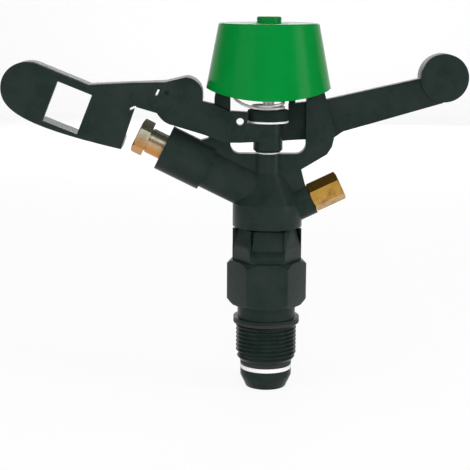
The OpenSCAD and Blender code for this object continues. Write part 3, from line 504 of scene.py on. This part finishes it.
def coil_line(radius, turns, low, high, width, start, steps=32):
    """The middle line of a coil whose first and last turns lie close."""
    points = []
    pitch = (high - low - 2 * width) / (turns - 2)
    for i in range(turns * steps + 1):
        t = i / steps
        if t < 1:
            z = low + t * width
        elif t > turns - 1:
            z = high - (turns - t) * width
        else:
            z = low + width + (t - 1) * pitch
        angle = math.radians(start) + 2 * math.pi * t
        points.append((radius * math.cos(angle), radius * math.sin(angle), z))
    return points


# ---- pieces ----


def thread_ridge(crest, root, start, pitch, laps):
    """One right-hand ridge wound down from start, with ends that fade into the core."""
    sunk = root - 0.35
    outline = [(sunk, 0.88), (root, 0.70), (crest - 0.12, 0.24), (crest - 0.02, 0.12),
               (crest, 0.0), (crest - 0.02, -0.12), (crest - 0.12, -0.24), (root, -0.70),
               (sunk, -0.88)]
    ridge = bmesh.new()
    section = [ridge.verts.new((r * MM, 0, (start + z) * MM)) for r, z in outline]
    face = ridge.faces.new(section)
    count = int(72 * laps)
    bmesh.ops.spin(ridge, geom=[face] + list(face.edges) + section, cent=(0, 0, 0),
                   axis=(0, 0, 1), dvec=(0, 0, -pitch * laps * MM / count),
                   angle=-2 * math.pi * laps, steps=count, use_merge=False,
                   use_duplicate=False)
    fade_over, thinnest = 0.3, 0.1
    for v in ridge.verts:
        radius = math.hypot(v.co.x, v.co.y)
        angle = -math.atan2(v.co.y, v.co.x) % (2 * math.pi)
        lap = (start - v.co.z / MM) / pitch
        along = round(lap - angle / (2 * math.pi)) + angle / (2 * math.pi)
        fade = min(1.0, max(0.0, along) / fade_over, max(0.0, laps - along) / fade_over)
        wanted = sunk * MM + (radius - sunk * MM) * (thinnest + (1 - thinnest) * fade)
        v.co.x *= wanted / radius
        v.co.y *= wanted / radius
    bmesh.ops.recalc_face_normals(ridge, faces=ridge.faces)
    return ridge


def cut_nipple():
    """The nipple: its flange and hexagon from the solid, on a turned core with a true thread."""
    crest, thread_depth, pitch = 13.22, 1.1, 1.814
    root = crest - thread_depth
    bore, core_top, saw_z, flange_foot = 8.1, 1.0, 0.8, 1.5
    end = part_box("inlet_nipple")[0].z / MM
    runout = end + 2.0
    bm = merged_copy("inlet_nipple")
    rim = sawn(bm, (0, 0, saw_z * MM), (0, 0, 1), clear_inner=True)
    bmesh.ops.triangle_fill(bm, use_beauty=True, use_dissolve=False, normal=(0, 0, -1), edges=rim)
    ease_edges(bm, 0.45, sharp=20, segments=3, inside=lambda co: co.z > flange_foot * MM)
    merge_into(bm, spun([
        (bore, core_top), (root, core_top), (root, runout - 0.2), (crest - 0.55, runout - 0.35),
        (crest - 0.9, runout - 0.75), (crest - 1.7, end + 0.2), (crest - 1.9, end),
        (bore, end)], steps=128))
    merge_into(bm, thread_ridge(crest, root, start=-0.55, pitch=pitch, laps=7.45))
    keep(bm, "threaded_nipple", "inlet_nipple", crease=30)


def arch_rim(bm, bottom, shoulder, rim_r, rise, flare, knob_zone):
    """Lifts a flared wall's rim in an arch, highest at left and right, and keeps its slope."""
    arch = (rim_r ** 2 + rise ** 2) / (2 * rise)
    for v in bm.verts:
        z, radius = v.co.z / MM, math.hypot(v.co.x, v.co.y) / MM
        if radius < knob_zone or z > shoulder + 0.05:
            continue
        lift = arch - math.sqrt(max(arch ** 2 - min(abs(v.co.x / MM), rim_r) ** 2, 0))
        raised = lift * max(0.0, 1 - (z - bottom) / (shoulder - bottom))
        narrowed = radius - raised * flare
        v.co.x *= narrowed / radius
        v.co.y *= narrowed / radius
        v.co.z += raised * MM


def turn_hood():
    """The hood: a flared wall with a rounded shoulder, an arched rim and a small knob."""
    _, bottom, knob_top = measures("hood")
    knob_rise, knob_r = 2.7, 5.2
    roof_r, rim_r, rim_rise, wall, edge = 21.2, 26.5, 3.5, 1.6, 0.8
    roof = knob_top - knob_rise
    ceiling = roof - wall
    flare = (rim_r - roof_r) / (roof - (bottom + rim_rise))
    rows = 12

    def outer(z):
        return roof_r + (roof - z) * flare

    def level(top, row):
        return bottom + (top - bottom) * row / rows

    outside = [(outer(z), z) for z in (level(roof - edge, row) for row in range(rows))]
    shoulder = [(roof_r - edge + flare * edge + edge * math.cos(math.radians(a)),
                 roof - edge + edge * math.sin(math.radians(a))) for a in range(0, 91, 15)]
    knob = [(knob_r + 0.5, roof), (knob_r + 0.15, roof + 0.15), (knob_r, roof + 0.5),
            (knob_r, knob_top - 0.6), (knob_r - 0.18, knob_top - 0.18),
            (knob_r - 0.6, knob_top), (0.0, knob_top)]
    under = [(0.0, ceiling), (roof_r - wall - 1.0, ceiling)]
    inside = [(outer(z) - wall, z) for z in (level(ceiling - 1, row)
                                             for row in range(rows, -1, -1))]
    bm = spun(outside + shoulder + knob + under + inside, steps=160)
    arch_rim(bm, bottom, roof - edge, rim_r, rim_rise, flare, knob_zone=8.0)
    rim = [e for e in bm.edges if e.calc_face_angle(0.0) > math.radians(60)
           and all(math.hypot(v.co.x, v.co.y) > 20 * MM for v in e.verts)]
    round_edges(bm, rim, 0.35, 3)
    boss_r, bore, boss_foot = 6.5, 2.5, 118.15
    merge_into(bm, spun([
        (bore, ceiling + 0.3), (bore, boss_foot + 0.25), (4.4, boss_foot + 0.25),
        (4.4, boss_foot), (boss_r - 0.4, boss_foot), (boss_r, boss_foot + 0.35),
        (boss_r, ceiling + 0.3)], steps=64))
    keep(bm, "green_hood", "hood", crease=40)


def turn_rings():
    """Washers, bushes and the gasket, with their edges broken: bore and edge of each."""
    rings = {"inlet_gasket": (13.36, 0.3), "seal_washer": (8.15, 0.35),
             "friction_washer": (8.15, 0.2), "lower_thrust_washer": (2.55, 0.1),
             "upper_thrust_washer": (2.55, 0.15), "pin_retaining_ring": (2.4, 0.15),
             "spring_anchor": (2.45, 0.35), "lower_arm_bush": (2.46, 0.3),
             "upper_arm_bush": (2.46, 0.3)}
    for node, (bore, edge) in rings.items():
        outer, foot, top = measures(node)
        outer += DAYLIGHT.get(node, 0.0)
        k = edge * 0.3
        keep(spun([
            (bore + edge, foot), (outer - edge, foot), (outer - k, foot + k),
            (outer, foot + edge), (outer, top - edge), (outer - k, top - k),
            (outer - edge, top), (bore + edge, top), (bore + k, top - k), (bore, top - edge),
            (bore, foot + edge), (bore + k, foot + k)]), node + "_ring", node, crease=35)


def turn_pivot():
    """The arm's pin, and the cup on top of its hub that carries the spring."""
    r, foot, top = measures("fulcrum_pin")
    keep(spun([(0, foot), (r - 0.4, foot), (r, foot + 0.4), (r, top - 0.7),
               (r - 0.15, top - 0.3), (r - 0.5, top - 0.08), (r - 0.9, top), (0, top)],
              steps=48), "pivot_pin", "fulcrum_pin", crease=40)
    r, foot, top = measures("spring_seat")
    r += DAYLIGHT["spring_seat"]
    bore, pilot = 2.55, 6.0
    deck = top - PILOT_RISE
    keep(spun([(bore, foot), (r - 0.4, foot), (r - 0.1, foot + 0.1), (r, foot + 0.4),
               (r, deck - 0.7), (r - 0.2, deck - 0.2), (r - 0.7, deck), (pilot, deck),
               (pilot - 0.3, top - 0.3), (pilot - 0.6, top), (2.9, top), (bore, top - 0.3)]),
         "spring_cup", "spring_seat", crease=30, finish=matt_black)


def wind_springs():
    """The bearing spring round the spindle and the arm's spring with its long free leg."""
    clear = 0.02
    wire = 1.3
    low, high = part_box("bearing_spring")
    inset = wire / 2 + clear
    # The bearing coil's near-black finish is painted shade.
    coil = soft_wire("bearing_coil", "bearing_spring",
                     coil_line(high.x / MM - inset, 6, low.z / MM + inset, high.z / MM - inset,
                               wire, 0), wire, finish=shade_dark_steel)
    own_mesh(coil)
    wire = 1.2
    low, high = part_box("arm_spring")
    radius = high.x / MM - wire / 2 - clear
    reach = -low.x / MM - wire / 2 - clear
    foot = measures("spring_seat")[2] - PILOT_RISE + wire / 2 + 0.05
    top = measures("spring_anchor")[1] - wire / 2 - 0.05
    leg_rise, leg_sweep, leg_steps = 6.8, 85, 36
    leg = []
    for i in range(leg_steps + 1):
        a = math.radians(90 - i * leg_sweep / leg_steps)
        leg.append((-reach * math.sin(a), -radius * math.cos(a),
                    foot + leg_rise * (1 - math.cos(a))))
    soft_wire("arm_coil", "arm_spring", leg + coil_line(radius, 5, foot, top, wire, 270), wire)


def machined(name, node, outline, flats, root, rise, finish):
    """An outline turned about a bore, and cut to a hexagon where it is wide enough."""
    bm = spun(outline)
    for k in range(6):
        angle = math.radians(30 + 60 * k)
        way = Vector((math.cos(angle), math.sin(angle), 0))
        bmesh.ops.contextual_create(bm, geom=sawn(bm, way * flats / 2 * MM, way,
                                                  clear_outer=True))
    bm.transform(Matrix.Translation((0, 0, root * MM)) @ Matrix.Rotation(rise, 4, "Y"))
    keep(bm, name, node, crease=24, finish=finish)


def machine_nozzles():
    """The range nozzle's cone bore and spanner hexagon, and the spreader's long hexagon."""
    flats, start, head, tip = 13.4, 40.5, 56.9, 62.1
    corner, shank, neck, throat, bore = flats / math.sqrt(3), 5.6, 5.1, 4.2, 2.2
    machined("range_jet", "range_nozzle", [
        (throat, start), (shank - 0.3, start), (shank, start + 0.3), (shank, head - 0.6),
        (neck, head - 0.6), (neck, head), (corner - 0.25, head), (corner, head + 0.15),
        (corner, tip - 0.7), (flats / 2 - 0.2, tip), (3.0, tip), (bore, tip - 0.8),
        (bore, tip - 3.0), (throat, start + 3.0)],
        flats, BARREL_ROOT, BARREL_RISE - math.pi / 2, range_brass)
    flats, start, head, tip = 11.1, 15.0, 21.0, 34.8
    corner, shank, throat, bore = flats / math.sqrt(3), 4.5, 2.8, 1.6
    machined("spreader_jet", "spreader_nozzle", [
        (throat, start), (shank - 0.3, start), (shank, start + 0.3), (shank, head),
        (flats / 2 - 0.2, head), (corner, head + 0.5), (corner, tip - 0.6),
        (flats / 2 - 0.1, tip), (2.4, tip), (bore, tip - 0.8), (bore, tip - 4.0),
        (throat, tip - 4.0)],
        flats, REAR_ROOT, math.pi / 2 - REAR_RISE, spreader_brass)


def mould_arm():
    """The hammer arm: soft edges, softer round the hump, and crisp where the cup sits."""
    hub_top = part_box("upper_thrust_washer")[0].z
    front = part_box("hammer_arm")[0].y
    bm = merged_copy("hammer_arm")

    def on_hump(co):
        return -45 * MM < co.x < -27 * MM and co.z > 97 * MM and co.y < front + 0.1 * MM

    def at_cup(co):
        return co.z > hub_top - 0.5 * MM and abs(co.x) < 9.4 * MM

    ease_edges(bm, 1.0, segments=3, inside=on_hump)
    ease_edges(bm, 0.45, crisp=at_cup)
    keep(bm, "arm_moulding", "hammer_arm")


# ---- the dressed sprinkler ----


hang_camera()
light_studio()
lay_floor()
for name, obj in nodes.items():
    obj.data.materials.clear()
    obj.data.materials.append(FINISH[SLOT[name]])
cut_nipple()
turn_hood()
turn_rings()
turn_pivot()
wind_springs()
machine_nozzles()
mould_arm()
eased("sprinkler_body", "body_moulding", 0.5)
eased("sand_guard", "sand_sleeve", 0.4)
eased("spindle_tube", "spindle", 0.35)
eased("counterweight_cover", "weight_cap", 0.25)
